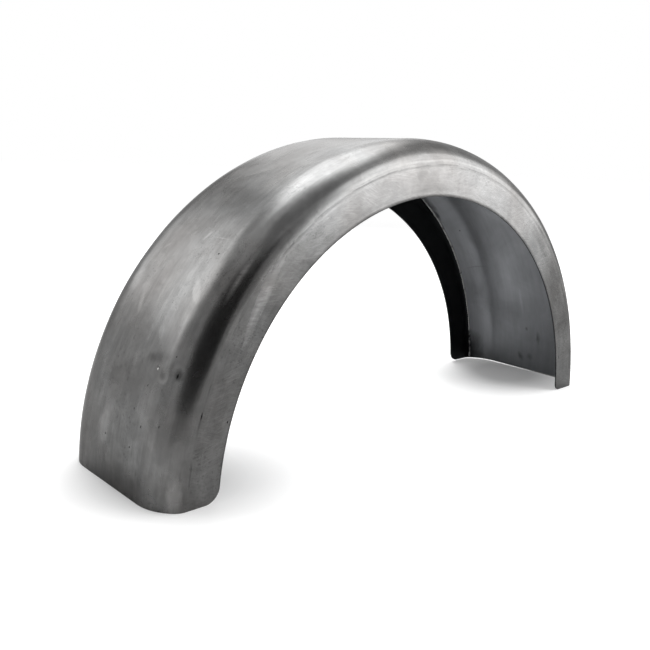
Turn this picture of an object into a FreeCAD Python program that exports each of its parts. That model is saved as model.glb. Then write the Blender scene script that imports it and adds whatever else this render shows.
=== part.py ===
"""Motorcycle rear fender in bare sheet steel: a flat crown, rounded shoulders and plain side walls.

The origin is on the floor, in the middle under the arch. +X runs along the bike, +Y across it, +Z up.
Half of the section is drawn above the wheel's axle and rolled round it. The other half is its mirror image,
and both ends of the arch are then cut flat, so that the fender stands on them.
"""

import math
import os

import FreeCAD
import Part
import Sketcher
from FreeCAD import Vector

# Driving dimensions, in millimetres and degrees: name, value, what it measures
DIMENSIONS = [
    ("crown_radius", 340.0, "axle to the outside of the crown"),
    ("overall_width", 185.0, "across the outside of the two side walls"),
    ("side_depth", 60.0, "crown to the lip of a side wall, towards the axle"),
    ("sheet_thickness", 1.5, "steel sheet"),
    ("upper_shoulder_radius", 48.0, "outside of the shoulder beside the crown"),
    ("lower_shoulder_radius", 18.0, "outside of the shoulder beside the wall"),
    ("upper_shoulder_turn", 46.0, "degrees of the quarter turn on the upper radius"),
    ("end_rise", 12.5, "axle up to the flat cut at both ends"),
    ("lip_corner_radius", 16.0, "rounded corner where a lip meets an end"),
    ("bead_height", 0.8, "weld bead inside, along the seam of shoulder and wall, off the sheet"),
    ("bead_width", 4.0, "the same bead, across its foot in the middle of the sheet"),
    ("rolled_angle", 200.0, "degrees that the sheet is rolled before its ends are cut"),
    ("trim_margin", 20.0, "how far the end cut reaches past the sheet"),
]

# Numbers that the sketcher gives to the points of a curve, and to a sketch's own axes
START, END, CENTRE = range(1, 4)
H_AXIS, V_AXIS = range(-1, -3, -1)
TOLERANCE = 1e-4


def make_dimensions(doc):
    """The spreadsheet that holds each driving dimension under its own alias."""
    sheet = doc.addObject("Spreadsheet::Sheet", "dims")
    for row, (name, value, note) in enumerate(DIMENSIONS, start=1):
        sheet.set(f"A{row}", name)
        sheet.set(f"B{row}", str(value))
        sheet.set(f"C{row}", note)
        sheet.setAlias(f"B{row}", name)
    doc.recompute()
    return sheet


def origin_plane(body, role):
    """One of the body's own three base planes."""
    return next(f for f in body.Origin.OriginFeatures if f.Role == role)


def new_sketch(body, name, role):
    sketch = body.newObject("Sketcher::SketchObject", name)
    sketch.AttachmentSupport = (origin_plane(body, role), [""])
    sketch.MapMode = "FlatFace"
    return sketch


def drive(sketch, constraint, formula):
    """Adds a dimension to a sketch and binds it to the spreadsheet."""
    index = sketch.addConstraint(constraint)
    sketch.setExpression(f"Constraints[{index}]", formula)


def draw_outline(sketch, corners):
    """A closed outline of straight sides through the corners, in order. Returns the sides' numbers."""
    sides = []
    for a, b in zip(corners, corners[1:] + corners[:1]):
        sides.append(sketch.addGeometry(Part.LineSegment(a, b)))
    for side, following in zip(sides, sides[1:] + sides[:1]):
        sketch.addConstraint(Sketcher.Constraint("Coincident", side, END, following, START))
    return sides


def lift_onto_axle(sketch):
    """Puts a cross-section sketch's horizontal axis on the wheel's axle."""
    sketch.setExpression(".AttachmentOffset.Base.y", "-dims.end_rise")


def shoulder_centres(sheet):
    """Centres of the upper and lower shoulder arcs, as (across, above the axle)."""
    turn = math.radians(sheet.upper_shoulder_turn)
    step = sheet.upper_shoulder_radius - sheet.lower_shoulder_radius
    lower_across = sheet.overall_width / 2 - sheet.lower_shoulder_radius
    upper_above = sheet.crown_radius - sheet.upper_shoulder_radius
    upper = Vector(lower_across - step * math.sin(turn), upper_above, 0)
    lower = Vector(lower_across, upper_above + step * math.cos(turn), 0)
    return upper, lower


def draw_skin(sketch, sheet, inset):
    """One skin of the half section, from the middle of the crown to the lip: crown, two arcs and wall.

    The inset is 0 on the outside and the sheet's thickness on the inside. Returns the four curves' numbers.
    """
    upper, lower = shoulder_centres(sheet)
    turn = math.radians(sheet.upper_shoulder_turn)
    upper_radius = sheet.upper_shoulder_radius - inset
    lower_radius = sheet.lower_shoulder_radius - inset
    toward_joint = Vector(math.sin(turn), math.cos(turn), 0)
    middle = Vector(0, sheet.crown_radius - inset, 0)
    crown_end = upper + Vector(0, upper_radius, 0)
    seam = lower + Vector(lower_radius, 0, 0)
    lip = Vector(seam.x, sheet.crown_radius - sheet.side_depth, 0)

    def arc(centre, radius, low, high):
        circle = Part.Circle(centre, Vector(0, 0, 1), radius)
        return Part.ArcOfCircle(circle, low, high)

    split = math.pi / 2 - turn
    crown = sketch.addGeometry(Part.LineSegment(middle, crown_end))
    upper_arc = sketch.addGeometry(arc(upper, upper_radius, split, math.pi / 2))
    lower_arc = sketch.addGeometry(arc(lower, lower_radius, 0, split))
    wall = sketch.addGeometry(Part.LineSegment(seam, lip))
    assert (upper + toward_joint * upper_radius).isEqual(
        lower + toward_joint * lower_radius, TOLERANCE
    )

    tangent = [
        (crown, END, upper_arc, END),
        (upper_arc, START, lower_arc, END),
        (lower_arc, START, wall, START),
    ]
    for joint in tangent:
        sketch.addConstraint(Sketcher.Constraint("Tangent", *joint))
    sketch.addConstraint(Sketcher.Constraint("Horizontal", crown))
    sketch.addConstraint(Sketcher.Constraint("Vertical", wall))
    sketch.addConstraint(Sketcher.Constraint("PointOnObject", crown, START, V_AXIS))
    return crown, upper_arc, lower_arc, wall


def draw_section(body, sheet):
    """Half of the sheet's section: two skins joined at the lip and closed at the middle of the crown."""
    sketch = new_sketch(body, "half_section", "YZ_Plane")
    lift_onto_axle(sketch)
    outer = draw_skin(sketch, sheet, 0.0)
    inner = draw_skin(sketch, sheet, sheet.sheet_thickness)
    crown, upper_arc, lower_arc, wall = outer

    def joined(curve_a, end_a, curve_b, end_b):
        a = sketch.getPoint(curve_a, end_a)
        b = sketch.getPoint(curve_b, end_b)
        line = sketch.addGeometry(Part.LineSegment(a, b))
        sketch.addConstraint(Sketcher.Constraint("Coincident", line, START, curve_a, end_a))
        sketch.addConstraint(Sketcher.Constraint("Coincident", line, END, curve_b, end_b))
        return line

    lip = joined(wall, END, inner[3], END)
    joined(crown, START, inner[0], START)
    sketch.addConstraint(Sketcher.Constraint("Horizontal", lip))

    # The inner arcs turn about the outer arcs' centres, so the sheet is as thick all the way round
    for outer_arc, inner_arc in ((upper_arc, inner[1]), (lower_arc, inner[2])):
        sketch.addConstraint(
            Sketcher.Constraint("Coincident", outer_arc, CENTRE, inner_arc, CENTRE)
        )

    joint_reach = sheet.upper_shoulder_radius * math.sin(math.radians(sheet.upper_shoulder_turn))
    drive(
        sketch,
        Sketcher.Constraint("DistanceY", H_AXIS, START, crown, START, sheet.crown_radius),
        "dims.crown_radius",
    )
    drive(
        sketch,
        Sketcher.Constraint("DistanceX", H_AXIS, START, wall, END, sheet.overall_width / 2),
        "dims.overall_width / 2",
    )
    drive(
        sketch,
        Sketcher.Constraint("DistanceY", wall, END, crown, START, sheet.side_depth),
        "dims.side_depth",
    )
    drive(
        sketch,
        Sketcher.Constraint("DistanceX", inner[3], END, wall, END, sheet.sheet_thickness),
        "dims.sheet_thickness",
    )
    drive(
        sketch,
        Sketcher.Constraint("Radius", upper_arc, sheet.upper_shoulder_radius),
        "dims.upper_shoulder_radius",
    )
    drive(
        sketch,
        Sketcher.Constraint("Radius", lower_arc, sheet.lower_shoulder_radius),
        "dims.lower_shoulder_radius",
    )
    drive(
        sketch,
        Sketcher.Constraint("DistanceX", upper_arc, END, upper_arc, START, joint_reach),
        "dims.upper_shoulder_radius * sin(dims.upper_shoulder_turn)",
    )
    return sketch


def draw_bead(body, sheet):
    """The low ridge of the weld, inside, where the shoulder meets the wall. Its foot is in the sheet."""
    sketch = new_sketch(body, "bead_section", "YZ_Plane")
    lift_onto_axle(sketch)
    _, lower = shoulder_centres(sheet)
    foot = sheet.overall_width / 2 - sheet.sheet_thickness / 2
    crest = sheet.overall_width / 2 - sheet.sheet_thickness - sheet.bead_height
    corners = [
        Vector(foot, lower.y - sheet.bead_width / 2, 0),
        Vector(foot, lower.y + sheet.bead_width / 2, 0),
        Vector(crest, lower.y, 0),
    ]
    sides = draw_outline(sketch, corners)
    base, upper_flank, lower_flank = sides
    sketch.addConstraint(Sketcher.Constraint("Vertical", base))
    sketch.addConstraint(Sketcher.Constraint("Equal", upper_flank, lower_flank))
    drive(
        sketch,
        Sketcher.Constraint("DistanceY", base, START, base, END, sheet.bead_width),
        "dims.bead_width",
    )
    drive(
        sketch,
        Sketcher.Constraint("DistanceX", H_AXIS, START, base, START, foot),
        "dims.overall_width / 2 - dims.sheet_thickness / 2",
    )
    drive(
        sketch,
        Sketcher.Constraint("DistanceX", H_AXIS, START, upper_flank, END, crest),
        "dims.overall_width / 2 - dims.sheet_thickness - dims.bead_height",
    )
    drive(
        sketch,
        Sketcher.Constraint("DistanceY", H_AXIS, START, upper_flank, END, lower.y),
        "dims.crown_radius - dims.upper_shoulder_radius"
        " + (dims.upper_shoulder_radius - dims.lower_shoulder_radius) * cos(dims.upper_shoulder_turn)",
    )
    return sketch


def roll(body, sketch, name):
    """Rolls a section round the axle, by the same angle to the front and to the back."""
    rolled = body.newObject("PartDesign::Revolution", name)
    rolled.Profile = sketch
    rolled.ReferenceAxis = (sketch, ["H_Axis"])
    rolled.Midplane = True
    rolled.setExpression("Angle", "dims.rolled_angle")
    return rolled


def mirror_across(body, features, name):
    """The other half of the fender, across the middle plane of the bike."""
    mirrored = body.newObject("PartDesign::Mirrored", name)
    mirrored.Originals = features
    mirrored.MirrorPlane = (origin_plane(body, "XZ_Plane"), [""])
    body.Tip = mirrored
    return mirrored


def cut_ends_flat(doc, body, sheet, name):
    """Cuts away all that lies below the floor plane, so that both ends are flat and level."""
    sketch = new_sketch(body, f"{name}_outline", "XY_Plane")
    half_x = sheet.crown_radius + sheet.trim_margin
    half_y = sheet.overall_width / 2 + sheet.trim_margin
    corners = [(-half_x, -half_y), (half_x, -half_y), (half_x, half_y), (-half_x, half_y)]
    sides = draw_outline(sketch, [Vector(x, y, 0) for x, y in corners])
    for side, direction in zip(sides, ("Horizontal", "Vertical") * 2):
        sketch.addConstraint(Sketcher.Constraint(direction, side))
    sketch.addConstraint(
        Sketcher.Constraint("Symmetric", sides[0], START, sides[1], END, H_AXIS, START)
    )
    drive(
        sketch,
        Sketcher.Constraint("DistanceX", sides[0], START, sides[0], END, 2 * half_x),
        "2 * (dims.crown_radius + dims.trim_margin)",
    )
    drive(
        sketch,
        Sketcher.Constraint("DistanceY", sides[1], START, sides[1], END, 2 * half_y),
        "dims.overall_width + 2 * dims.trim_margin",
    )
    before = body.Shape.Volume
    cut = body.newObject("PartDesign::Pocket", name)
    cut.Profile = sketch
    cut.Type = "Length"
    cut.setExpression("Length", "dims.crown_radius + dims.trim_margin")
    doc.recompute()
    if not cut.Shape.Volume < before:
        raise RuntimeError("the end cut removed nothing")
    return cut


def lip_corner_edges(shape, sheet):
    """Names of the short edges, one sheet thick, where a side wall's lip meets a flat end."""
    lip_radius = sheet.crown_radius - sheet.side_depth
    names = []
    for number, edge in enumerate(shape.Edges, start=1):
        ends = [v.Point for v in edge.Vertexes]
        on_floor = all(abs(p.z) < TOLERANCE for p in ends)
        on_lip = all(
            abs(math.hypot(p.x, p.z + sheet.end_rise) - lip_radius) < TOLERANCE for p in ends
        )
        at_one_end = abs(ends[0].x - ends[-1].x) < TOLERANCE
        if len(ends) == 2 and on_floor and on_lip and at_one_end:
            names.append(f"Edge{number}")
    return names


def round_lip_corners(doc, body, base, sheet, name):
    edges = lip_corner_edges(base.Shape, sheet)
    if len(edges) != 4:
        raise RuntimeError(f"found {len(edges)} lip corners, and not one at each end of each wall")
    rounded = body.newObject("PartDesign::Fillet", name)
    rounded.Base = (base, edges)
    rounded.setExpression("Radius", "dims.lip_corner_radius")
    doc.recompute()
    return rounded


def make_fender(doc, sheet):
    """The fender: one piece of steel, with its seams welded and ground."""
    body = doc.addObject("PartDesign::Body", "fender")
    body.Label = "fender"
    rolled_sheet = roll(body, draw_section(body, sheet), "rolled_sheet")
    doc.recompute()
    weld_bead = roll(body, draw_bead(body, sheet), "weld_bead")
    doc.recompute()
    mirror_across(body, [rolled_sheet, weld_bead], "both_sides")
    doc.recompute()
    cut = cut_ends_flat(doc, body, sheet, "flat_ends")
    body.Tip = round_lip_corners(doc, body, cut, sheet, "lip_corners")
    return body


def check(doc, pieces):
    """Stops before anything is written if an object failed or a piece isn't one sound solid."""
    for item in doc.Objects:
        if {"Invalid", "Error"} & set(item.State):
            raise RuntimeError(f"{item.Name} failed: {item.State}")
    for piece in pieces:
        shape = piece.Shape
        if shape.isNull() or not shape.isValid() or len(shape.Solids) != 1:
            raise RuntimeError(f"{piece.Label} isn't one valid solid")


def main():
    doc = FreeCAD.newDocument("rear_fender")
    sheet = make_dimensions(doc)
    pieces = [make_fender(doc, sheet)]
    doc.recompute()
    check(doc, pieces)
    os.makedirs("parts", exist_ok=True)
    for piece in pieces:
        piece.Shape.exportStep(f"parts/{piece.Label}.step")
        box = piece.Shape.optimalBoundingBox(True, False)
        print(
            f"{piece.Label}: {box.XLength:.2f} x {box.YLength:.2f} x {box.ZLength:.2f} mm, "
            f"{piece.Shape.Volume / 1000:.1f} cm3, {len(piece.Shape.Faces)} faces"
        )


main()
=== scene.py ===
"""Bare steel motorcycle rear fender: rolled sheet, weld beads and a studio stage.

Laid out as an add-on and run as a script. Lengths are in metres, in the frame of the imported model:
the origin is on the floor under the arch, +X along the bike, +Y across it, +Z up.
"""

import functools
import math

import bpy
from bpy.props import FloatProperty, FloatVectorProperty, IntProperty, PointerProperty
from bpy.types import Operator, Panel, PropertyGroup
from mathutils import Matrix, Vector, noise


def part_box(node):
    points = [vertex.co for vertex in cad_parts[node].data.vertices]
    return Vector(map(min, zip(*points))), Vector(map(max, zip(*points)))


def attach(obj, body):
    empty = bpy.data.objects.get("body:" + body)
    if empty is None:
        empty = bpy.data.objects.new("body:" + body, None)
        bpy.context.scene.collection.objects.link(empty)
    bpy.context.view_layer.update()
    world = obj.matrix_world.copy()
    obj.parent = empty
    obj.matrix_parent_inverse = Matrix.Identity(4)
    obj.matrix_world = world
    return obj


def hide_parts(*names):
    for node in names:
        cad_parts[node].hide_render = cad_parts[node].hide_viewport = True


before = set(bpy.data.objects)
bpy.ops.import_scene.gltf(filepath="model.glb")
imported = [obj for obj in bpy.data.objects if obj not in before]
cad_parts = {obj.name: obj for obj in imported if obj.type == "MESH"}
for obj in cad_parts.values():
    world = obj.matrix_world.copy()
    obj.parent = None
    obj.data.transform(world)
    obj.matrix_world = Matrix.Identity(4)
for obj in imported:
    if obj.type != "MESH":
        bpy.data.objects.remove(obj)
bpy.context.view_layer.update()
CAD_LOW, CAD_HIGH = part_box("fender")

bl_info = {
    "name": "Steel Rear Fender",
    "version": (1, 0, 0),
    "blender": (4, 5, 0),
    "location": "View3D > Sidebar > Fender",
    "description": "Rolls a bare steel motorcycle fender, adds its weld beads and sets a studio stage",
    "category": "Add Mesh",
}

MM = 0.001


# Settings


# What every colour's setting has
COLOUR = {"size": 3, "min": 0.0, "max": 1.0, "subtype": "COLOR"}


class FenderSheetSettings(PropertyGroup):
    """Sizes of the rolled sheet"""

    overall_width: FloatProperty(
        name="Overall Width",
        description="Across the outside of the two side walls",
        default=CAD_HIGH.y - CAD_LOW.y,
        unit="LENGTH",
    )
    crown_height: FloatProperty(
        name="Crown Height",
        description="Floor to the top of the crown",
        default=CAD_HIGH.z,
        unit="LENGTH",
    )
    end_rise: FloatProperty(
        name="End Rise",
        description="Wheel's axle up to the flat cut at both ends",
        default=12.5 * MM,
        unit="LENGTH",
    )
    side_depth: FloatProperty(
        name="Side Depth",
        description="Crown to the lip of a side wall, towards the axle",
        default=60.0 * MM,
        unit="LENGTH",
    )
    thickness: FloatProperty(
        name="Sheet Thickness",
        description="Thickness of the steel sheet",
        default=1.5 * MM,
        unit="LENGTH",
    )
    upper_radius: FloatProperty(
        name="Upper Shoulder Radius",
        description="Outside of the shoulder beside the crown",
        default=48.0 * MM,
        unit="LENGTH",
    )
    lower_radius: FloatProperty(
        name="Lower Shoulder Radius",
        description="Outside of the shoulder beside the wall",
        default=18.0 * MM,
        unit="LENGTH",
    )
    upper_turn: FloatProperty(
        name="Upper Shoulder Turn",
        description="Part of the shoulder's quarter turn that is on the upper radius",
        default=math.radians(46.0),
        subtype="ANGLE",
    )
    corner_radius: FloatProperty(
        name="Lip Corner Radius",
        description="Rounded corner where a lip meets an end",
        default=16.0 * MM,
        unit="LENGTH",
    )
    roll_steps: IntProperty(
        name="Roll Steps",
        description="Facets round the arch before its ends are cut",
        default=320,
        min=24,
    )


class FenderSteelSettings(PropertyGroup):
    """Colours of the bare steel"""

    outer_colour: FloatVectorProperty(
        name="Outer Steel",
        description="Sanded outside of the sheet",
        default=(0.166, 0.1668, 0.1662),
        **COLOUR,
    )
    stain_colour: FloatVectorProperty(
        name="Stain",
        description="Oxide and handling stains on the outside",
        default=(0.150, 0.146, 0.143),
        **COLOUR,
    )
    inner_colour: FloatVectorProperty(
        name="Inner Steel",
        description="Mill finish on the inside of the sheet",
        default=(0.222, 0.229, 0.240),
        **COLOUR,
    )
    edge_colour: FloatVectorProperty(
        name="Cut Edge",
        description="Bright cut edges and weld metal",
        default=(0.55, 0.55, 0.545),
        **COLOUR,
    )


class FenderStageSettings(PropertyGroup):
    """Camera, floor and lights"""

    camera_place: FloatVectorProperty(
        name="Camera Place",
        description="Where the camera stands",
        default=(-640.05 * MM, -614.11 * MM, 304.48 * MM),
        size=3,
        subtype="TRANSLATION",
        unit="LENGTH",
    )
    camera_heading: FloatProperty(
        name="Camera Heading",
        description="Direction of view, turned from +Y towards +X",
        default=math.radians(42.724),
        subtype="ANGLE",
    )
    camera_dip: FloatProperty(
        name="Camera Dip",
        description="How far the view looks down",
        default=math.radians(12.502),
        subtype="ANGLE",
    )
    camera_roll: FloatProperty(
        name="Camera Roll",
        description="Turn of the camera about its own view",
        default=math.radians(2.002),
        subtype="ANGLE",
    )
    camera_lens: FloatProperty(
        name="Focal Length",
        description="Lens on a 36 mm wide sensor, in millimetres",
        default=41.995,
    )
    floor_colour: FloatVectorProperty(
        name="Paper",
        description="Floor and background",
        default=(0.7, 0.7, 0.7),
        **COLOUR,
    )


# Measures of the section, worked out from the settings


class Section:
    """Where the curves of the sheet's section start and end, seen along the arch at its top"""

    def __init__(self, sheet):
        self.sheet = sheet
        self.half = sheet.overall_width / 2
        self.crown = sheet.crown_height + sheet.end_rise
        self.lip = self.crown - sheet.side_depth
        self.lower_y = self.half - sheet.lower_radius
        step = sheet.upper_radius - sheet.lower_radius
        self.upper_y = self.lower_y - step * math.sin(sheet.upper_turn)
        self.upper_r = self.crown - sheet.upper_radius
        self.seam = self.upper_r + step * math.cos(sheet.upper_turn)
        self.lower_turn = math.pi / 2 - sheet.upper_turn
        self.axle = Vector((0.0, 0.0, -sheet.end_rise))
        # Distance over the sheet from the middle of the crown to a seam
        self.seam_length = (
            self.upper_y
            + sheet.upper_radius * sheet.upper_turn
            + sheet.lower_radius * self.lower_turn
        )

    def at_top(self, y, radius):
        """The point of the arch's top that is so far across and from the axle."""
        return Vector((0.0, y, radius - self.sheet.end_rise))

    def polar(self, point):
        """Angle round the axle, from +X, and distance from it."""
        rise = point.z + self.sheet.end_rise
        return math.atan2(rise, point.x), math.hypot(point.x, rise)

    def across(self, y, radius):
        """Distance over the sheet from the middle of the crown, signed as y is."""
        sheet = self.sheet
        side = abs(y)
        if side <= self.upper_y:
            length = side
        elif radius < self.seam:
            length = self.seam_length + self.seam - radius
        else:
            turn = math.atan2(side - self.upper_y, radius - self.upper_r)
            length = self.upper_y + sheet.upper_radius * min(turn, sheet.upper_turn)
            if turn > sheet.upper_turn:
                lower = math.atan2(side - self.lower_y, radius - self.seam)
                length += sheet.lower_radius * max(lower - sheet.upper_turn, 0.0)
        return math.copysign(length, y)

    def inside_shoulder(self, side, turn):
        """Across and radius of the lower shoulder's inside, turned up from where it leaves the wall."""
        radius = self.sheet.lower_radius - self.sheet.thickness
        return side * (self.lower_y + radius * math.cos(turn)), self.seam + radius * math.sin(turn)

    def mapped(self, point):
        """A point's place on the sheet's map: along the arch, and across from the crown's middle."""
        angle, radius = self.polar(point)
        return Vector((angle * self.crown, self.across(point.y, radius), 0.0))


# Modelling helpers


# Points nearer than this are merged
MERGE_REACH = 0.01 * MM


def start_piece(name):
    """Names the object that was just added, puts its place in its mesh and enters edit mode."""
    piece = bpy.context.object
    piece.name = name
    piece.data.name = name
    bpy.ops.object.transform_apply(location=True, rotation=True, scale=True)
    bpy.ops.object.mode_set(mode="EDIT")
    return piece


def one_vertex(name, place):
    """A new object, in edit mode, whose mesh is one selected vertex."""
    bpy.ops.object.select_all(action="DESELECT")
    bpy.ops.mesh.primitive_plane_add(size=0.01, location=place)
    piece = start_piece(name)
    bpy.ops.mesh.select_mode(type="VERT")
    bpy.ops.mesh.select_all(action="SELECT")
    bpy.ops.mesh.merge(type="CENTER")
    return piece


def draw_line(step, count):
    """Extrudes the selected vertex along a straight line."""
    for _ in range(count):
        move = {"value": Vector(step) / count}
        bpy.ops.mesh.extrude_region_move(TRANSFORM_OT_translate=move)


def draw_arc(centre, angle, count):
    """Spins the selected vertex about an axis along the bike."""
    bpy.ops.mesh.spin(steps=count, angle=angle, center=centre, axis=(1.0, 0.0, 0.0))


def roll_over(section, half_turn, steps):
    """Turns the mesh in edit mode back to one end of the arch and spins it over to the other."""
    axle = section.axle
    bpy.ops.mesh.select_all(action="SELECT")
    bpy.ops.transform.rotate(value=half_turn, orient_axis="Y", center_override=axle)
    bpy.ops.mesh.spin(steps=steps, angle=-2 * half_turn, center=axle, axis=(0.0, 1.0, 0.0))
    bpy.ops.mesh.select_all(action="SELECT")
    bpy.ops.mesh.remove_doubles(threshold=MERGE_REACH)
    bpy.ops.mesh.normals_make_consistent(inside=False)


def select_faces(piece, chosen):
    """Selects, in edit mode, the faces whose centre passes the test."""
    bpy.ops.mesh.select_all(action="DESELECT")
    bpy.ops.mesh.select_mode(type="FACE")
    bpy.ops.object.mode_set(mode="OBJECT")
    for face in piece.data.polygons:
        face.select = chosen(face.center)
    bpy.ops.object.mode_set(mode="EDIT")


def apply_modifier(piece, kind, **values):
    """Gives a piece a modifier with these settings and applies it."""
    modifier = piece.modifiers.new(kind.title(), kind)
    for key, value in values.items():
        setattr(modifier, key, value)
    bpy.ops.object.modifier_apply(modifier=modifier.name)


# The sheet


# Height of the fine rows of the wall beside the seam
SEAM_BAND = 6.0 * MM
# Edges of the section on the plain wall, the fine rows, the two shoulder radii and the crown
WALL_EDGES, BAND_EDGES, LOWER_EDGES, UPPER_EDGES, CROWN_EDGES = 8, 5, 10, 14, 32
# Roll past each end, which the flat cut takes off
SPARE_ROLL = math.radians(4.0)
CORNER_CUTS = 9
# How far a corner's cuts act, in corner radii above the floor and outside the lip
CORNER_ZONE = (2.5, 1.6)
# One lip's corner, by end and side, is rounded less than the others
SMALL_CORNER = (1.0, -1.0)
SMALL_RADIUS = 9.0 * MM
# Gap under the +X end, the run across the bike over which it opens, and the height at which it is gone
END_GAP, END_GAP_RUN, END_GAP_RISE = 1.0 * MM, 150.0 * MM, 30.0 * MM
# Dents: place, radius and depth in millimetres
DENTS = (
    ((-315, -57.6, 114.9), 9, 0.7),
    ((-309.5, -70.5, 121), 8, 0.9),
    ((-313, -47.1, 120.2), 2.6, 0.5),
    ((196, 30, 265), 12, 0.35),
    ((-60, 66, 316), 14, 0.4),
)
# The sheet is divided out to this many radii of a dent, and this many millimetres more
DENT_ZONE = (2.2, 4.0)
# Largest dents of each round of dividing, by radius in millimetres: all, then the small ones again
DENT_ROUNDS = (20.0, 5.0)
# Slow waves: depth in millimetres, scale and offset of the noise
WAVES = ((0.22, 14.0, (0.0, 0.0, 0.0)), (0.10, 34.0, (5.0, 1.0, 2.0)))
# Ground hollows beside the seam: depth in millimetres, its share of change and the scale of that
HOLLOW, HOLLOW_CHANGE, HOLLOW_SCALE = 0.18, 0.7, 60.0
# Reach of the hollows, and of the low ridge between them, in millimetres
HOLLOW_REACH, RIDGE_REACH = 3.0, 1.1
BEVEL_WIDTH = 0.3 * MM


def draw_section(section):
    """Draws the section at the arch's top, from lip to lip, as a chain of edges."""
    sheet = section.sheet
    piece = one_vertex("fender_sheet", section.at_top(-section.half, section.lip))
    plain_wall = section.seam - SEAM_BAND - section.lip
    up = Vector((0.0, 0.0, 1.0))
    draw_line(up * plain_wall, WALL_EDGES)
    draw_line(up * SEAM_BAND, BAND_EDGES)
    draw_arc(section.at_top(-section.lower_y, section.seam), section.lower_turn, LOWER_EDGES)
    draw_arc(section.at_top(-section.upper_y, section.upper_r), sheet.upper_turn, UPPER_EDGES)
    draw_line((0.0, 2 * section.upper_y, 0.0), CROWN_EDGES)
    draw_arc(section.at_top(section.upper_y, section.upper_r), sheet.upper_turn, UPPER_EDGES)
    draw_arc(section.at_top(section.lower_y, section.seam), section.lower_turn, LOWER_EDGES)
    draw_line(-up * SEAM_BAND, BAND_EDGES)
    draw_line(-up * plain_wall, WALL_EDGES)
    return piece


def cut_ends(piece, section):
    """Cuts both ends flat on the floor and rounds the corners of the lips."""
    bpy.ops.mesh.select_all(action="SELECT")
    bpy.ops.mesh.bisect(plane_co=(0.0, 0.0, 0.0), plane_no=(0.0, 0.0, 1.0), clear_inner=True)
    for end in (-1.0, 1.0):
        for side in (-1.0, 1.0):
            small = (end, side) == SMALL_CORNER
            radius = SMALL_RADIUS if small else section.sheet.corner_radius
            round_corner(piece, section, end, side, radius)


def round_corner(piece, section, end, side, radius):
    """Rounds the corner of one lip at one end with a row of straight cuts."""
    # The corner's centre is one radius above the floor, and one radius outside the lip
    rise = radius + section.sheet.end_rise
    reach = math.sqrt((section.lip + radius) ** 2 - rise**2)
    lip_turn = math.atan2(rise, reach)
    centre = Vector((end * reach, 0.0, radius))
    highest, farthest = (share * radius for share in CORNER_ZONE)
    for cut in range(CORNER_CUTS):
        share = (cut + 0.5) / CORNER_CUTS
        # From straight down, round to straight towards the axle
        angle = share * (math.pi / 2 - lip_turn)
        away = Vector((-end * math.sin(angle), 0.0, -math.cos(angle)))
        select_faces(
            piece,
            lambda c: end * c.x > 0
            and side * c.y > 0
            and c.z < highest
            and section.polar(c)[1] < section.lip + farthest,
        )
        bpy.ops.mesh.bisect(plane_co=centre + away * radius, plane_no=away, clear_outer=True)


def inward(section, point):
    """Unit direction from a point of the outer skin towards the inside of the sheet."""
    angle, radius = section.polar(point)
    side = abs(point.y)
    if side <= section.upper_y:
        sideways, outwards = 0.0, 1.0
    elif radius < section.seam:
        sideways, outwards = 1.0, 0.0
    else:
        turn = math.atan2(side - section.upper_y, radius - section.upper_r)
        if turn > section.sheet.upper_turn:
            turn = math.atan2(side - section.lower_y, radius - section.seam)
        sideways, outwards = math.sin(turn), math.cos(turn)
    sideways = math.copysign(sideways, point.y)
    return -Vector((outwards * math.cos(angle), sideways, outwards * math.sin(angle)))


def smooth_bump(distance, reach):
    """1 at no distance, falling softly to 0 at the reach."""
    share = min(distance / reach, 1.0)
    return (1.0 - share * share) ** 2


def near_dent(point, largest):
    """Whether a point is in or beside a dent whose radius isn't over the largest, in millimetres."""
    radii, more = DENT_ZONE
    return any(
        radius <= largest and (point - Vector(place) * MM).length < (radii * radius + more) * MM
        for place, radius, _ in DENTS
    )


def work_sheet(piece, section):
    """Hammers in what hand work leaves: dents, slow waves and the ground seam, all of it inwards."""
    for largest in DENT_ROUNDS:
        select_faces(piece, lambda c: near_dent(c, largest))
        bpy.ops.mesh.subdivide(number_cuts=2, smoothness=0.0)
    bpy.ops.object.mode_set(mode="OBJECT")
    for vertex in piece.data.vertices:
        point = vertex.co.copy()
        _, radius = section.polar(point)
        depth = 0.0
        for wave, scale, offset in WAVES:
            depth += wave * (1.0 + noise.noise(point * scale + Vector(offset)))
        from_seam = (abs(section.across(point.y, radius)) - section.seam_length) / MM
        hollow = HOLLOW * (1.0 + HOLLOW_CHANGE * noise.noise(point * HOLLOW_SCALE))
        ridge = math.exp(-((from_seam / RIDGE_REACH) ** 2))
        depth += hollow * math.exp(-((from_seam / HOLLOW_REACH) ** 2)) * (1.0 - ridge)
        for place, reach, dent in DENTS:
            depth += dent * smooth_bump((point - Vector(place) * MM).length / MM, reach)
        vertex.co = point + inward(section, point) * depth * MM
    keep_on_floor(piece)
    lift_end(piece, section)


def lift_end(piece, section):
    """The +X end is cut a little short: it stands on one corner, and light shows under the rest."""
    for vertex in piece.data.vertices:
        if vertex.co.x > 0.0 and vertex.co.z < END_GAP_RISE:
            gap = END_GAP * (1.0 - smooth_bump(vertex.co.y + section.half, END_GAP_RUN))
            vertex.co.z += gap * (1.0 - vertex.co.z / END_GAP_RISE)


def keep_on_floor(piece):
    """Brings points that a wall's thickness or a dent took below the floor back to it."""
    for vertex in piece.data.vertices:
        vertex.co.z = max(vertex.co.z, 0.0)


def map_sheet(piece, section):
    """A UV map in metres: along the arch, and across the sheet from the middle of the crown."""
    layer = piece.data.uv_layers.new(name="sheet")
    places = [section.mapped(vertex.co).xy for vertex in piece.data.vertices]
    for loop in piece.data.loops:
        layer.data[loop.index].uv = places[loop.vertex_index]


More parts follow.
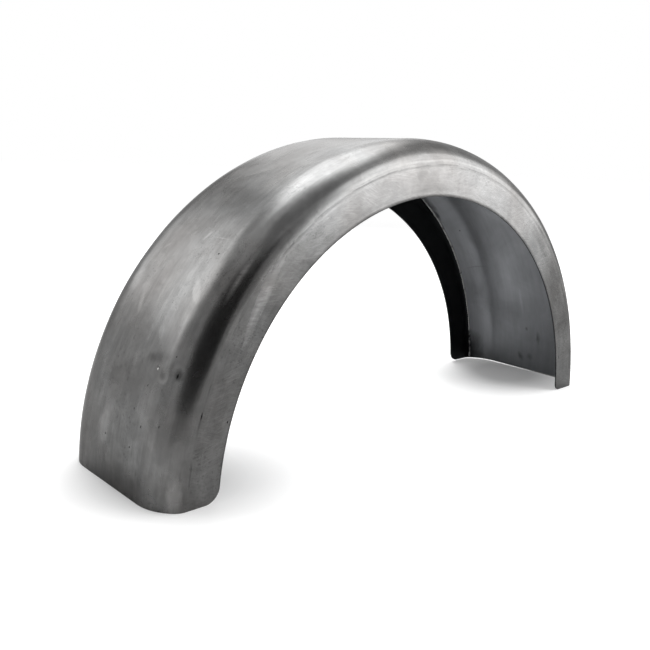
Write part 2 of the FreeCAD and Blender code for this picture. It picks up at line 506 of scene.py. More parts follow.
class FENDER_OT_roll_sheet(Operator):
    """Roll the fender's sheet, cut its ends and give it thickness"""

    bl_idname = "fender.roll_sheet"
    bl_label = "Roll Sheet"

    def execute(self, context):
        section = Section(context.scene.fender_sheet)
        piece = draw_section(section)
        roll_over(section, math.pi / 2 + SPARE_ROLL, section.sheet.roll_steps)
        cut_ends(piece, section)
        work_sheet(piece, section)
        for material in (outer_steel(context), inner_steel(context), cut_edge(context)):
            piece.data.materials.append(material)
        apply_modifier(
            piece,
            "SOLIDIFY",
            thickness=section.sheet.thickness,
            offset=-1.0,
            use_even_offset=True,
            material_offset=1,
            material_offset_rim=2,
        )
        apply_modifier(
            piece,
            "BEVEL",
            width=BEVEL_WIDTH,
            segments=2,
            limit_method="ANGLE",
            angle_limit=math.radians(60.0),
        )
        keep_on_floor(piece)
        map_sheet(piece, section)
        bpy.ops.object.shade_smooth_by_angle(angle=math.radians(40.0))
        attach(piece, "root")
        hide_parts("fender")
        return {"FINISHED"}


# The weld beads


BEAD_STEPS = 560
BEAD_SIDES = 10
BEAD_RADIUS = 1.35 * MM
BEAD_SINK = 0.45 * MM
BEAD_NAMES = {-1.0: "weld_bead_right", 1.0: "weld_bead_left"}
# How far up the shoulder each bead runs, by the side of the bike
BEAD_TURNS = {-1.0: 0.0, 1.0: math.radians(38.0)}
# Turn of the arch that is left without weld at each end
BEAD_SPARE = math.radians(0.5)
# A bead is taller than it is wide by this
BEAD_STRETCH = 1.25
# Ripples and their run, uneven swelling and its scale, wandering and its scale
RIPPLE, RIPPLE_RUN = 0.16, 0.55 * MM
SWELL, SWELL_SCALE = 0.35, 60.0
WANDER, WANDER_SCALE = 0.5 * MM, 18.0
# Share of the sheet's thickness that lies behind the bead's back
BEAD_COVER = 0.6


class FENDER_OT_lay_beads(Operator):
    """Lay the weld beads inside, along the two shoulders"""

    bl_idname = "fender.lay_beads"
    bl_label = "Lay Weld Beads"

    def execute(self, context):
        section = Section(context.scene.fender_sheet)
        metal = weld_metal(context)
        for side, name in BEAD_NAMES.items():
            self.lay(section, name, side, BEAD_TURNS[side], metal)
        return {"FINISHED"}

    def lay(self, section, name, side, turn, metal):
        across, rise = section.inside_shoulder(side, turn)
        across += side * BEAD_SINK * math.cos(turn)
        rise += BEAD_SINK * math.sin(turn)
        bpy.ops.object.select_all(action="DESELECT")
        bpy.ops.mesh.primitive_circle_add(
            vertices=BEAD_SIDES,
            radius=BEAD_RADIUS,
            fill_type="NGON",
            location=section.at_top(across, rise),
            rotation=(0.0, math.pi / 2, 0.0),
        )
        piece = start_piece(name)
        end_turn = math.asin(section.sheet.end_rise / rise)
        roll_over(section, math.pi / 2 - end_turn - BEAD_SPARE, BEAD_STEPS)
        bpy.ops.object.mode_set(mode="OBJECT")
        self.ripple(piece, section, side, across, rise)
        keep_on_floor(piece)
        piece.data.materials.append(metal)
        bpy.ops.object.shade_smooth_by_angle(angle=math.radians(50.0))
        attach(piece, "root")

    def ripple(self, piece, section, side, across, rise):
        """Swells and bends a bead along its run, with its back kept within the sheet."""
        sheet = section.sheet
        # How far from the shoulder's centre the bead's back may lie
        deepest = sheet.lower_radius - BEAD_COVER * sheet.thickness
        for vertex in piece.data.vertices:
            angle, radius = section.polar(vertex.co)
            pulse = 1.0 + RIPPLE * math.sin(angle * rise / RIPPLE_RUN)
            pulse += SWELL * noise.noise(Vector((angle * SWELL_SCALE, across, 0.0)))
            wander = WANDER * noise.noise(Vector((angle * WANDER_SCALE, across, 4.0)))
            new_radius = rise + (radius - rise) * BEAD_STRETCH * pulse + wander
            new_across = across + (vertex.co.y - across) * pulse
            out = Vector((side * new_across - section.lower_y, new_radius - section.seam))
            depth = out.x if out.y < 0 else out.length
            if depth > deepest:
                out *= deepest / depth
            radius = section.seam + out.y
            vertex.co.y = side * (section.lower_y + out.x)
            vertex.co.x = radius * math.cos(angle)
            vertex.co.z = radius * math.sin(angle) - sheet.end_rise


# Shader node groups


class Graph:
    """A node tree with short ways to add and join nodes"""

    def __init__(self, tree):
        self.tree = tree

    def add(self, kind, **values):
        node = self.tree.nodes.new(kind)
        for key, value in values.items():
            setattr(node, key, value)
        return node

    def put(self, node, key, value):
        """Links an output to a node's input, or sets a plain value on it."""
        if isinstance(value, bpy.types.NodeSocket):
            self.tree.links.new(value, node.inputs[key])
        else:
            node.inputs[key].default_value = value

    def fill(self, node, values, output=0):
        """Puts each value on the input of its key. Returns an output of the node."""
        for key, value in values:
            self.put(node, key, value)
        return node.outputs[output]

    def show(self, kind, shader):
        """Joins a shader to a new output of this kind."""
        self.put(self.add(f"ShaderNodeOutput{kind}"), "Surface", shader.outputs[0])

    def place(self):
        """Object coordinates."""
        return self.add("ShaderNodeTexCoord").outputs["Object"]

    def mapped(self, name):
        """Coordinates on the UV map of this name."""
        return self.add("ShaderNodeUVMap", uv_map=name).outputs["UV"]

    def math(self, operation, *values):
        return self.fill(self.add("ShaderNodeMath", operation=operation), enumerate(values))

    def times(self, a, b):
        return self.math("MULTIPLY", a, b)

    def largest(self, masks):
        """The largest of several masks at each point."""
        return functools.reduce(lambda a, b: self.math("MAXIMUM", a, b), masks)

    def vector(self, operation, *values, output=0):
        node = self.add("ShaderNodeVectorMath", operation=operation)
        return self.fill(node, enumerate(values), output)

    def turned(self, vector, angle):
        """A vector turned about Z."""
        node = self.add("ShaderNodeVectorRotate", rotation_type="Z_AXIS")
        return self.fill(node, (("Vector", vector), ("Angle", angle)))

    def joined(self, *parts):
        """A vector from its parts."""
        return self.fill(self.add("ShaderNodeCombineXYZ"), enumerate(parts))

    def parts(self, vector):
        """The three parts of a vector."""
        node = self.add("ShaderNodeSeparateXYZ")
        self.put(node, 0, vector)
        return node.outputs

    def remap(self, value, low, high, to_low=0.0, to_high=1.0):
        names = ("Value", "From Min", "From Max", "To Min", "To Max")
        values = (value, low, high, to_low, to_high)
        return self.fill(self.add("ShaderNodeMapRange"), zip(names, values))

    def tally(self, total, *shares):
        """A start value plus each mask times its weight."""
        for mask, weight in shares:
            total = self.math("MULTIPLY_ADD", mask, weight, total)
        return total

    def noise(self, vector, scale, detail=2.0, roughness=0.5, distortion=0.0):
        names = ("Vector", "Scale", "Detail", "Roughness", "Distortion")
        values = (vector, scale, detail, roughness, distortion)
        return self.fill(self.add("ShaderNodeTexNoise"), zip(names, values))

    def blend(self, share, a, b, kind="MIX"):
        node = self.add("ShaderNodeMix", data_type="RGBA", blend_type=kind)
        return self.fill(node, zip(("Factor", "A", "B"), (share, a, b)), "Result")

    def use(self, group, **values):
        """Places a node group and sets its inputs by name."""
        return self.fill(self.add("ShaderNodeGroup", node_tree=group), values.items())


def empty_graph(owner):
    """The emptied node tree of a material, a lamp or the world."""
    owner.use_nodes = True
    owner.node_tree.nodes.clear()
    return Graph(owner.node_tree)


def new_group(name, inputs):
    """A shader group that puts out one mask. Returns it, its graph, what it is given and its end."""
    group = bpy.data.node_groups.new(name, "ShaderNodeTree")
    for label, kind, default in inputs:
        socket = group.interface.new_socket(label, in_out="INPUT", socket_type=f"NodeSocket{kind}")
        if default is not None:
            socket.default_value = default
    group.interface.new_socket("Mask", in_out="OUTPUT", socket_type="NodeSocketFloat")
    graph = Graph(group)
    given = graph.add("NodeGroupInput").outputs
    return group, graph, given, graph.add("NodeGroupOutput")


def group_named(name, build):
    """The node group of this name, built when it is first asked for."""
    return bpy.data.node_groups.get(name) or build(name)


def build_scratches(name):
    """Fine straight scratches, as sanding leaves, turned to an angle on the sheet."""
    group, graph, given, end = new_group(
        name,
        (
            ("Vector", "Vector", None),
            ("Angle", "Float", 0.0),
            ("Fineness", "Float", 900.0),
            ("Stretch", "Float", 0.04),
        ),
    )
    along, across, _ = graph.parts(graph.turned(given["Vector"], given["Angle"]))
    stretched = graph.joined(graph.times(along, given["Stretch"]), across)
    grain = graph.noise(stretched, given["Fineness"], 3.0, 0.65)
    graph.put(end, 0, graph.remap(grain, 0.35, 0.65))
    return group


def build_blotches(name):
    """Cloudy stains with a soft edge."""
    group, graph, given, end = new_group(
        name,
        (
            ("Vector", "Vector", None),
            ("Scale", "Float", 20.0),
            ("Low", "Float", 0.4),
            ("High", "Float", 0.65),
        ),
    )
    cloud = graph.noise(given["Vector"], given["Scale"], 4.0, 0.55, 0.4)
    graph.put(end, 0, graph.remap(cloud, given["Low"], given["High"]))
    return group


def build_mark(name):
    """One oval mark with a ragged edge, at a place on the sheet's map and turned on it."""
    group, graph, given, end = new_group(
        name,
        (
            ("Vector", "Vector", None),
            ("Place", "Vector", (0.0, 0.0, 0.0)),
            ("Size", "Vector", (0.01, 0.01, 1.0)),
            ("Turn", "Float", 0.0),
            ("Core", "Float", 0.3),
            ("Rag", "Float", 0.3),
        ),
    )
    offset = graph.vector("SUBTRACT", given["Vector"], given["Place"])
    shares = graph.vector("DIVIDE", graph.turned(offset, given["Turn"]), given["Size"])
    reach = graph.vector("LENGTH", shares, output="Value")
    ragged = graph.math("SUBTRACT", graph.noise(shares, 1.6, 3.0, 0.6), 0.5)
    edge = graph.tally(reach, (ragged, given["Rag"]))
    graph.put(end, 0, graph.remap(edge, 1.0, given["Core"]))
    return group


def build_soft_rim(name):
    """0 at the rim of a panel and 1 a little way in. The vector runs from 0 to 1 along both sides."""
    inputs = (("Vector", "Vector", None), ("Reach", "Float", 0.2))
    group, graph, given, end = new_group(name, inputs)
    insets = []
    for part in graph.parts(given["Vector"])[:2]:
        insets.append(graph.math("MINIMUM", part, graph.math("SUBTRACT", 1.0, part)))
    inset = graph.math("MINIMUM", *insets)
    graph.put(end, 0, graph.remap(inset, 0.0, given["Reach"]))
    return group


def scratches(graph, vector, angle, fineness, stretch):
    """Mask of fine scratches, with their angle in degrees."""
    return graph.use(
        group_named("Sanding Scratches", build_scratches),
        Vector=vector,
        Angle=math.radians(angle),
        Fineness=fineness,
        Stretch=stretch,
    )


def blotches(graph, vector, scale, low, high):
    """Mask of cloudy stains."""
    group = group_named("Stain Blotches", build_blotches)
    return graph.use(group, Vector=vector, Scale=scale, Low=low, High=high)


def soft_rim(graph, vector):
    """Mask of a panel with a soft rim."""
    return graph.use(group_named("Soft Rim", build_soft_rim), Vector=vector)


# Materials


def new_metal(name):
    """A metal with an empty tree. Returns it, its graph and its shader."""
    material = bpy.data.materials.new(name)
    graph = empty_graph(material)
    shader = graph.add("ShaderNodeBsdfPrincipled")
    shader.inputs["Metallic"].default_value = 1.0
    graph.show("Material", shader)
    return material, graph, shader


# Heights between which the filed brightness of the ends fades out
FILED_LOW, FILED_HIGH = 1.2 * MM, 2.2 * MM
BURNT_WELD = (0.03, 0.03, 0.034, 1.0)


def rgba(colour, factor=1.0):
    """A colour with its alpha, made lighter or darker by a factor."""
    return (*(min(c * factor, 1.0) for c in colour), 1.0)


def bump(graph, height, strength, distance):
    """Normal of a skin with this relief."""
    values = zip(("Strength", "Distance", "Height"), (strength, distance, height))
    return graph.fill(graph.add("ShaderNodeBump"), values)


# Marks and painted shade on the outside: place on the skin, half length and half width in millimetres,
# turn from the arch's line in degrees, change of tone, share that is the mark's plain core, raggedness
# of its edge
MARKS_AND_PAINTED_SHADE = (
    # Wiped patches and scratches
    ((-276, -51, 185), 19, 6, -40, 0.26, 0.6, 0.6),
    ((-300, -31, 147), 9, 4.5, -25, 0.20, 0.6, 0.6),
    ((-279, 50, 182), 15, 11, -20, 0.20, 0.5, 0.8),
    ((-290, 23, 164), 14, 4, -20, 0.22, 0.5, 0.8),
    ((-240, -14, 229), 8, 2.4, 25, 0.34, 0.5, 0.7),
    ((-240, -37, 229), 17, 0.8, 90, 0.28, 0.2, 0.6),
    ((-252, 36, 215), 6, 2.4, 40, 0.20, 0.3, 0.8),
    ((-224, -6, 243), 11, 2.2, -9, 0.16, 0.3, 0.8),
    ((-334, 18, 52), 22, 11, 0, 0.20, 0.6, 0.7),
    ((-329, -66, 65), 34, 2.6, 0, 0.16, 0.1, 0.6),
    ((-324, -88, 14), 22, 8, 0, 0.34, 0.5, 0.8),
    ((-228, -92.4, 185), 14, 4, -9, 0.30, 0.1, 1),
    ((-314, -47, 118.5), 1.3, 1, 0, 1, 0.3, 0.3),
    ((210, -86.4, 237.5), 48, 7, 0, 0.50, 0.3, 0.5),
    # Stains and shaded hollows
    ((-310, -40, 127), 6.5, 20, -9, -0.30, 0.3, 0.8),
    ((-315, -57, 113), 6, 4, -50, -0.24, 0.2, 0.6),
    ((-309, -74, 118), 7, 6, -28, -0.60, 0.3, 0.6),
    ((-263, -40, 203), 19, 6, -30, -0.10, 0.2, 0.9),
    # Painted shade: darker runs that stand in for darker reflections, at the crown's foot, the near
    # wall's foot, its lip, and two at its other end
    ((-337, -20, 10), 115, 130, 0, -0.30, 0.25, 0.4),
    ((-255, -92.4, 146), 160, 34, 0, -0.15, 0.3, 0.4),
    ((-182.5, -92.4, 205), 130, 17, 0, -0.24, 0, 0.3),
    ((278, -92.4, 90), 150, 40, 0, -0.28, 0.3, 0.4),
    ((236, -92.4, 178), 75, 45, 0, -0.20, 0.2, 0.4),
)
# Brushed streaks, rougher than the rest and lightened as a painted sheen: place, half length, half
# width, turn, raggedness
BRUSHED_WITH_SHEEN = (
    ((-250, -83, 202), 36, 3.4, -1, 0.3),
    ((-238, -92.4, 174), 58, 7, -9, 1.3),
)
# Pinholes and nicks: place, half length and half width in millimetres
PINHOLES = (
    ((-335, 13, 46), 1.5, 0.9),
    ((-335, -32, 46), 1.2, 0.9),
    ((-330, -45, 68), 1.8, 0.9),
    ((-327, -28, 80), 1.1, 0.8),
    ((-326, -69, 74), 1.6, 0.6),
    ((-320, -40, 103), 1.5, 0.7),
    ((-305.8, -65.5, 132.2), 1.1, 0.8),
    ((-251, -49, 216), 1.2, 1.1),
    ((-310, -73, 117), 2.8, 1.5),
    ((-298, -92.4, 84), 4.2, 0.9),
    ((-271, -92.4, 73), 2.2, 1),
    ((280, -92.4, 48), 5, 0.8),
)
PINHOLE_CORE, PINHOLE_RAG = 0.4, 0.7
# How a metal's shine grows towards grazing angles: less than that of clean steel, as the skin is sanded
SANDED_SHEEN = (0.5, 0.5, 0.5, 1.0)
# Sanding on the walls, in layers: angle in degrees, fineness, stretch, scale of the patches it is in
SANDING = ((2.0, 700.0, 0.07, 24.2), (-14.0, 520.0, 0.10, 22.6), (24.0, 620.0, 0.12, 26.4))
# Where the wall's finish sets in across the seam, and where the lip's dark rim does before the lip
WALL_REACH = (-9.0 * MM, 5.0 * MM)
RIM_REACH = (1.8 * MM, 0.4 * MM)
# The seam's wandering and the width of its dark line, from its edge to its core
SEAM_WANDER = 4.0 * MM
LINE_REACH = (1.3 * MM, 0.3 * MM)
# The painted highlight line beside the seam: its place on the crown's side, its width, and the heights
# over which it sets in
SEAM_HIGHLIGHT_PLACE = 4.5 * MM
SEAM_HIGHLIGHT_REACH = (1.8 * MM, 0.4 * MM)
SEAM_HIGHLIGHT_RISE = (60.0 * MM, 110.0 * MM)
# Strength and depth of the outer skin's relief
SKIN_BUMP, SKIN_DEPTH = 0.35, 0.06 * MM


def place_mark(graph, section, vector, centre, size, turn, core, rag):
    """Mask of one mark, from its place on the skin and its size in millimetres."""
    return graph.use(
        group_named("Single Mark", build_mark),
        Vector=vector,
        Place=section.mapped(Vector(centre) * MM),
        Size=Vector((*size, 1.0)) * MM,
        Turn=-math.radians(turn),
        Core=core,
        Rag=rag,
    )


def add_marks(graph, section, vector, level, marks):
    """A level with the change of tone of each mark."""
    for centre, length, width, turn, change, core, rag in marks:
        mark = place_mark(graph, section, vector, centre, (length, width), turn, core, rag)
        level = graph.tally(level, (mark, change))
    return level


def sanded_walls(graph, place, flat, wall):
    """Mask of the sanding on the walls, in strokes along the bike that come and go."""
    layers = []
    for angle, fineness, stretch, scale in SANDING:
        layer = scratches(graph, flat, angle, fineness, stretch)
        layers.append(graph.times(layer, blotches(graph, place, scale, 0.30, 0.70)))
    return graph.times(graph.largest(layers), wall)


def ground_seam(graph, place, from_seam):
    """Masks of the seam: a broken dark line that wanders, and a painted highlight line beside it higher
    up.
    """
    wander = graph.tally(-0.5, (graph.noise(place, 22.0, 2.0), 1.0))
    from_seam = graph.tally(from_seam, (wander, SEAM_WANDER))
    line = graph.remap(graph.math("ABSOLUTE", from_seam), *LINE_REACH)
    line = graph.times(line, graph.remap(graph.noise(place, 34.0, 4.0), 0.46, 0.58))
    seam_highlight = graph.math("ABSOLUTE", graph.math("ADD", from_seam, SEAM_HIGHLIGHT_PLACE))
    seam_highlight = graph.remap(seam_highlight, *SEAM_HIGHLIGHT_REACH)
    seam_highlight = graph.times(seam_highlight, graph.remap(graph.noise(place, 12.0, 2.0), 0.42, 0.60))
    height = graph.parts(place)[2]
    return line, graph.times(seam_highlight, graph.remap(height, *SEAM_HIGHLIGHT_RISE))


def outer_steel(context):
    """Sanded outside: clouds and streaks along the arch, sanded walls, wipes, stains and pinholes, with
    painted shade in darker runs, a painted highlight beside the seam and a painted sheen on brushed
    streaks.
    """
    steel = context.scene.fender_steel
    section = Section(context.scene.fender_sheet)
    lip_length = section.across(section.half, section.lip)
    material, graph, shader = new_metal("sanded_steel")
    shader.inputs["Specular Tint"].default_value = SANDED_SHEEN
    place = graph.place()
    sheet = graph.mapped("sheet")
    x, _, z = graph.parts(place)
    flat = graph.joined(x, z)

    side = graph.math("ABSOLUTE", graph.parts(sheet)[1])
    from_seam = graph.math("SUBTRACT", side, section.seam_length)
    wall = graph.remap(from_seam, *WALL_REACH)
    rim = graph.remap(graph.math("SUBTRACT", lip_length, side), *RIM_REACH)

    # Slow clouds, streaks along the arch, wiped patches, mottling, fine grain and specks
    cloud = blotches(graph, place, 9.0, 0.34, 0.66)
    streak = scratches(graph, sheet, 0.0, 150.0, 0.12)
    patch = blotches(graph, place, 24.0, 0.47, 0.63)
    mottle = blotches(graph, place, 70.0, 0.46, 0.60)
    grain = scratches(graph, sheet, 0.0, 1300.0, 0.03)
    specks = blotches(graph, place, 430.0, 0.56, 0.68)
    specks = graph.times(specks, blotches(graph, place, 17.0, 0.5, 0.62))
    sanding = sanded_walls(graph, place, flat, wall)
    line, seam_highlight = ground_seam(graph, place, from_seam)

    level = graph.tally(
        0.75,
        (cloud, 0.13),
        (streak, 0.16),
        (patch, 0.12),
        (mottle, 0.11),
        (grain, 0.08),
        (specks, -0.30),
        (wall, -0.08),
        (sanding, 0.44),
        (line, -0.28),
        # painted highlight beside the seam
        (seam_highlight, 0.24),
        (rim, -0.45),
    )
    level = add_marks(graph, section, sheet, level, MARKS_AND_PAINTED_SHADE)
    brushed_with_sheen = graph.largest(
        place_mark(graph, section, sheet, centre, (length, width), turn, 0.0, rag)
        for centre, length, width, turn, rag in BRUSHED_WITH_SHEEN
    )
    strokes = graph.times(brushed_with_sheen, scratches(graph, flat, 0.0, 420.0, 0.08))
    # Painted sheen: the brushed streaks are lightened as well as roughened
    level = graph.tally(level, (brushed_with_sheen, 0.15), (strokes, 0.7))
    holes = graph.largest(
        place_mark(graph, section, sheet, centre, size, 0.0, PINHOLE_CORE, PINHOLE_RAG)
        for centre, *size in PINHOLES
    )
    level = graph.times(level, graph.tally(1.0, (holes, -0.9)))
    tone = graph.blend(cloud, rgba(steel.stain_colour), rgba(steel.outer_colour))
    graph.put(shader, "Base Color", graph.blend(1.0, tone, level, "MULTIPLY"))

    rough = graph.tally(
        0.28,
        (cloud, -0.04),
        (patch, 0.03),
        (wall, -0.07),
        (sanding, 0.05),
        (brushed_with_sheen, 0.3),
        (holes, 0.3),
    )
    graph.put(shader, "Roughness", rough)
    relief = graph.tally(
        0.0,
        (grain, 0.3),
        (sanding, 0.8),
        (holes, -5.0),
        (line, -1.2),
        (specks, -0.6),
    )
    graph.put(shader, "Normal", bump(graph, relief, SKIN_BUMP, SKIN_DEPTH))
    return material


# Marks and painted shade on the inside, written as those on the outside
INNER_MARKS_AND_PAINTED_SHADE = (
    ((332, -26, 54), 12, 4, 0, -0.45, 0.1, 0.9),
    ((330, -7, 65), 4, 3, 0, -0.40, 0.1, 0.9),
    ((337, 4, 20), 9, 5, 30, -0.50, 0.1, 0.9),
    ((337, -12, 22), 7, 6, 0, -0.35, 0.1, 0.9),
    ((316, -2, 108), 24, 3.5, 0, 0.20, 0.1, 0.9),
    ((291, 65, 150), 1.6, 22, 3, -0.16, 0.2, 0.6),
    ((253, 71, 206), 1.8, 1.4, 0, -0.6, 0.4, 0.6),
    ((219, 85.5, 228), 12, 2, 0, -0.55, 0.1, 0.9),
    ((200, 87, 240), 44, 8, 0, -0.80, 0.2, 1),
    # Painted shade: the far wall's dark foot, and a darker run along the inner shoulder
    ((321, 84, 12), 44, 22, 0, -0.85, 0.2, 0.7),
    ((291, 74, 145), 150, 16, 0, -0.16, 0.2, 0.5),
)


def inner_steel(context):
    """Inside: mill finish with cloudy oxide, painted shade that darkens the walls below the weld, filed
    ends.
    """
    steel = context.scene.fender_steel
    section = Section(context.scene.fender_sheet)
    material, graph, shader = new_metal("mill_steel")
    place = graph.place()
    sheet = graph.mapped("sheet")
    cloud = blotches(graph, place, 14.0, 0.4, 0.7)
    streak = scratches(graph, sheet, 0.0, 120.0, 0.12)
    across = graph.parts(sheet)[1]
    # Painted shade: the inner walls below each weld are darkened to near black, as if in shade
    painted_wall_shade = []
    for side, turn in BEAD_TURNS.items():
        edge = abs(section.across(*section.inside_shoulder(side, turn)))
        painted_wall_shade.append(graph.remap(graph.times(across, side), edge - 0.5 * MM, edge + 1.0 * MM))
    level = graph.tally(1.0, (cloud, -0.22), (streak, 0.10))
    level = add_marks(graph, section, sheet, level, INNER_MARKS_AND_PAINTED_SHADE)
    level = graph.times(level, graph.tally(1.0, (graph.largest(painted_wall_shade), -0.88)))
    tone = graph.blend(1.0, rgba(steel.inner_colour), level, "MULTIPLY")
    filed = graph.remap(graph.parts(place)[2], FILED_HIGH, FILED_LOW)
    graph.put(shader, "Base Color", graph.blend(filed, tone, rgba(steel.edge_colour)))
    graph.put(shader, "Roughness", graph.tally(0.36, (cloud, 0.12)))
    return material


def cut_edge(context):
    """Cut edges of the sheet: dark along the lips, filed bright at the two ends."""
    steel = context.scene.fender_steel
    material, graph, shader = new_metal("cut_edge")
    place = graph.place()
    cloud = blotches(graph, place, 90.0, 0.35, 0.7)
    filed = graph.remap(graph.parts(place)[2], FILED_HIGH, FILED_LOW)
    dark_lips = graph.blend(cloud, rgba(steel.inner_colour, 0.3), rgba(steel.inner_colour, 0.15))
    graph.put(shader, "Base Color", graph.blend(filed, dark_lips, rgba(steel.edge_colour)))
    graph.put(shader, "Roughness", graph.tally(0.28, (cloud, 0.17)))
    return material


def weld_metal(context):
    """Weld beads: bright ripples with burnt patches."""
    steel = context.scene.fender_steel
    material, graph, shader = new_metal("weld_metal")
    burnt = blotches(graph, graph.place(), 45.0, 0.54, 0.66)
    tone = graph.blend(burnt, rgba(steel.edge_colour, 0.75), BURNT_WELD)
    graph.put(shader, "Base Color", tone)
    graph.put(shader, "Roughness", graph.remap(burnt, 0.0, 1.0, 0.3, 0.6))
    return material


# The stage


WHITE = (1.0, 1.0, 1.0, 1.0)
FLOOR_SIZE = 30.0
# The floor lies this much under the ends, so that they don't share a plane
FLOOR_DROP = 0.1 * MM
# What the lamps and flags look at
STAGE_MIDDLE = Vector((0.0, 0.0, 0.15))
# Strength of the white world as a light
WORLD_LIGHT = 0.3
SENSOR_WIDTH = 36.0
# Softboxes: name, bearing from +X towards +Y and height in degrees, distance, width and height in
# metres, brightness
SOFTBOXES = (
    ("softbox_right_front", -40, 25, 1.8, 1.80, 2.25, 3.6),
    ("softbox_right", -10, 33, 1.9, 0.75, 1, 2),
    ("softbox_top_back", 56, 64.5, 1.6, 1.42, 1.60, 4.8),
    ("softbox_left_back", 124, 32, 2, 1.85, 1.20, 2.2),
    ("softbox_back", 53, 30, 2, 1.20, 1.20, 2.1),
)
# Flags, which metal sees and the camera doesn't: name, bearing, height, distance, width, height, grey
FLAGS = (
    ("flag_camera", -134, 25, 2.1, 3.9, 2.9, 0.04),
    ("flag_side", -88, 27, 2.3, 1.2, 3, 0.5),
    ("flag_top", -105, 70, 2.3, 2, 1.25, 0.4),
    ("flag_left", 163, 27, 2.3, 1.75, 3, 0.6),
    ("flag_back_low", 43, 7, 2.4, 1.5, 0.90, 0),
)
# The floor's own lift towards white: beside the two ends, clear of them, and far away. It is kept low
# beside the ends, a painted shadow that deepens the cast one. The reaches are from the middle of the
# nearer end, and for the last from the middle of the floor.
END_MIDDLES = ((-0.287, -0.018), (0.298, 0.005))
PAINTED_SHADOW_LIFT, LIFT_CLEAR, LIFT_FAR = 0.11, 0.55, 0.80
PAINTED_SHADOW_REACH = (0.04, 0.13)
FAR_REACH = (0.7, 2.2)
# A place on the floor, out of the picture, whose lift the near wall doesn't mirror: painted shade in
# the wall's reflection
MIRROR_SHADE_PLACE = (0.5, -1.0)
MIRROR_SHADE_REACH = (1.0, 1.4)


def at_bearing(bearing, height, distance):
    """Place and facing of a thing that looks at the fender from a bearing and a height in degrees."""
    bearing, height = math.radians(bearing), math.radians(height)
    level = math.cos(height)
    away = Vector((level * math.cos(bearing), level * math.sin(bearing), math.sin(height)))
    return STAGE_MIDDLE + away * distance, away.to_track_quat("Z", "Y").to_euler()


def seen_ray(graph):
    """1 for rays that the camera, a reflection or a transmission sends, else 0."""
    path = graph.add("ShaderNodeLightPath")
    kinds = ("Is Camera Ray", "Is Glossy Ray", "Is Transmission Ray")
    return graph.largest(path.outputs[kind] for kind in kinds)


def reach_from(graph, along, across, place):
    """Distance over the floor from a place on it."""
    along = graph.math("SUBTRACT", along, place[0])
    across = graph.math("SUBTRACT", across, place[1])
    return graph.math("SQRT", graph.tally(graph.times(along, along), (across, across)))


def paper(colour):
    """Floor: pale and matt, lifted to white where it is seen, and still dark in the fender's shadow.
    Beside the ends the lift is kept low, a painted shadow that deepens the cast one; at one place out
    of view it is taken off for reflections, a painted shade that the near wall mirrors.
    """
    material = bpy.data.materials.new("white_paper")
    graph = empty_graph(material)
    matt = graph.add("ShaderNodeBsdfDiffuse")
    graph.put(matt, "Color", rgba(colour))
    along, across, _ = graph.parts(graph.place())
    from_ends = (reach_from(graph, along, across, end) for end in END_MIDDLES)
    # Painted shadow: the lift is kept low beside the two ends
    amount = graph.remap(graph.math("MINIMUM", *from_ends), *PAINTED_SHADOW_REACH, PAINTED_SHADOW_LIFT, LIFT_CLEAR)
    from_middle = reach_from(graph, along, across, (0.0, 0.0))
    far = graph.remap(from_middle, *FAR_REACH, 0.0, LIFT_FAR - LIFT_CLEAR)
    amount = graph.math("ADD", amount, far)
    # Painted shade in reflections: at one place out of view the lift is taken off for mirrored rays
    mirror_shade = graph.remap(reach_from(graph, along, across, MIRROR_SHADE_PLACE), *MIRROR_SHADE_REACH, 1.0, 0.0)
    mirrored = graph.add("ShaderNodeLightPath").outputs["Is Glossy Ray"]
    amount = graph.times(amount, graph.tally(1.0, (graph.times(mirror_shade, mirrored), -1.0)))
    lift = graph.add("ShaderNodeEmission")
    graph.put(lift, "Strength", graph.times(seen_ray(graph), amount))
    both = graph.add("ShaderNodeAddShader")
    graph.put(both, 0, matt.outputs[0])
    graph.put(both, 1, lift.outputs[0])
    graph.show("Material", both)
    return material


def flag_cloth(name, grey):
    """Cloth of one grey that fades towards its rim into the white round it."""
    material = bpy.data.materials.new(name)
    graph = empty_graph(material)
    glow = graph.add("ShaderNodeEmission")
    inside = soft_rim(graph, graph.mapped("UVMap"))
    graph.put(glow, "Strength", graph.remap(inside, 0.0, 1.0, 1.0, grey))
    graph.show("Material", glow)
    return material


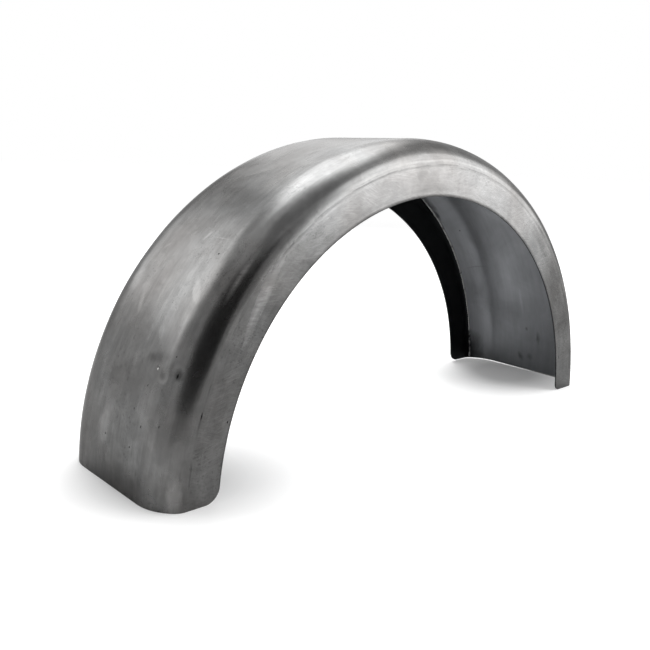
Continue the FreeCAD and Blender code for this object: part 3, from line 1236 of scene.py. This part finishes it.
class FENDER_OT_set_stage(Operator):
    """Set the floor, the soft light and the camera"""

    bl_idname = "fender.set_stage"
    bl_label = "Set Stage"

    def execute(self, context):
        stage = context.scene.fender_stage
        context.scene.view_settings.view_transform = "Standard"
        self.lay_floor(stage)
        self.light_world(context)
        for box in SOFTBOXES:
            self.hang_softbox(*box)
        for flag in FLAGS:
            self.stand_flag(*flag)
        self.place_camera(context, stage)
        return {"FINISHED"}

    def add_plane(self, name, place, facing, width, height, material):
        bpy.ops.object.select_all(action="DESELECT")
        bpy.ops.mesh.primitive_plane_add(size=1.0, location=place, rotation=facing)
        plane = bpy.context.object
        plane.name = name
        plane.scale = (width, height, 1.0)
        bpy.ops.object.transform_apply(location=True, rotation=True, scale=True)
        plane.data.materials.append(material)
        return plane

    def lay_floor(self, stage):
        place, facing = (0.0, 0.0, -FLOOR_DROP), (0.0, 0.0, 0.0)
        white = paper(stage.floor_colour)
        self.add_plane("floor", place, facing, FLOOR_SIZE, FLOOR_SIZE, white)

    def light_world(self, context):
        """White where it is seen, and a weak soft light on everything."""
        world = bpy.data.worlds.new("studio")
        context.scene.world = world
        graph = empty_graph(world)
        sky = graph.add("ShaderNodeBackground")
        graph.put(sky, "Color", WHITE)
        strength = graph.remap(seen_ray(graph), 0.0, 1.0, WORLD_LIGHT, 1.0)
        graph.put(sky, "Strength", strength)
        graph.show("World", sky)

    def hang_softbox(self, name, bearing, height, distance, width, tall, brightness):
        place, facing = at_bearing(bearing, height, distance)
        bpy.ops.object.light_add(type="AREA", location=place, rotation=facing)
        lamp = bpy.context.object
        lamp.name = name
        lamp.data.shape = "RECTANGLE"
        lamp.data.size = width
        lamp.data.size_y = tall
        lamp.data.energy = brightness * math.pi * width * tall
        lamp.visible_camera = False
        graph = empty_graph(lamp.data)
        glow = graph.add("ShaderNodeEmission")
        across = graph.add("ShaderNodeNewGeometry").outputs["Parametric"]
        graph.put(glow, "Strength", soft_rim(graph, across))
        graph.show("Light", glow)

    def stand_flag(self, name, bearing, height, distance, width, tall, grey):
        place, facing = at_bearing(bearing, height, distance)
        flag = self.add_plane(name, place, facing, width, tall, flag_cloth(name, grey))
        flag.visible_camera = False

    def place_camera(self, context, stage):
        bpy.ops.object.camera_add()
        camera = bpy.context.object
        camera.name = "photo_camera"
        camera.data.sensor_width = SENSOR_WIDTH
        camera.data.lens = stage.camera_lens
        camera.data.clip_start = 0.01
        camera.matrix_world = (
            Matrix.Translation(stage.camera_place)
            @ Matrix.Rotation(-stage.camera_heading, 4, "Z")
            @ Matrix.Rotation(math.pi / 2 - stage.camera_dip, 4, "X")
            @ Matrix.Rotation(stage.camera_roll, 4, "Z")
        )
        context.scene.camera = camera


# Sidebar and registration


class FENDER_PT_sidebar(Panel):
    """Fender's tools and settings"""

    bl_label = "Steel Rear Fender"
    bl_space_type = "VIEW_3D"
    bl_region_type = "UI"
    bl_category = "Fender"

    def draw(self, context):
        layout = self.layout
        for operator in OPERATORS:
            layout.operator(operator.bl_idname)
        for name in SETTINGS:
            settings = getattr(context.scene, name)
            column = layout.column(align=True)
            for key in settings.__annotations__:
                column.prop(settings, key)


SETTINGS = {
    "fender_sheet": FenderSheetSettings,
    "fender_steel": FenderSteelSettings,
    "fender_stage": FenderStageSettings,
}
OPERATORS = (FENDER_OT_roll_sheet, FENDER_OT_lay_beads, FENDER_OT_set_stage)
CLASSES = (*SETTINGS.values(), *OPERATORS, FENDER_PT_sidebar)


def register():
    for item in CLASSES:
        bpy.utils.register_class(item)
    for name, settings in SETTINGS.items():
        setattr(bpy.types.Scene, name, PointerProperty(type=settings))


def unregister():
    for name in SETTINGS:
        delattr(bpy.types.Scene, name)
    for item in reversed(CLASSES):
        bpy.utils.unregister_class(item)


def main():
    register()
    bpy.ops.fender.roll_sheet()
    bpy.ops.fender.lay_beads()
    bpy.ops.fender.set_stage()


if __name__ == "__main__":
    main()
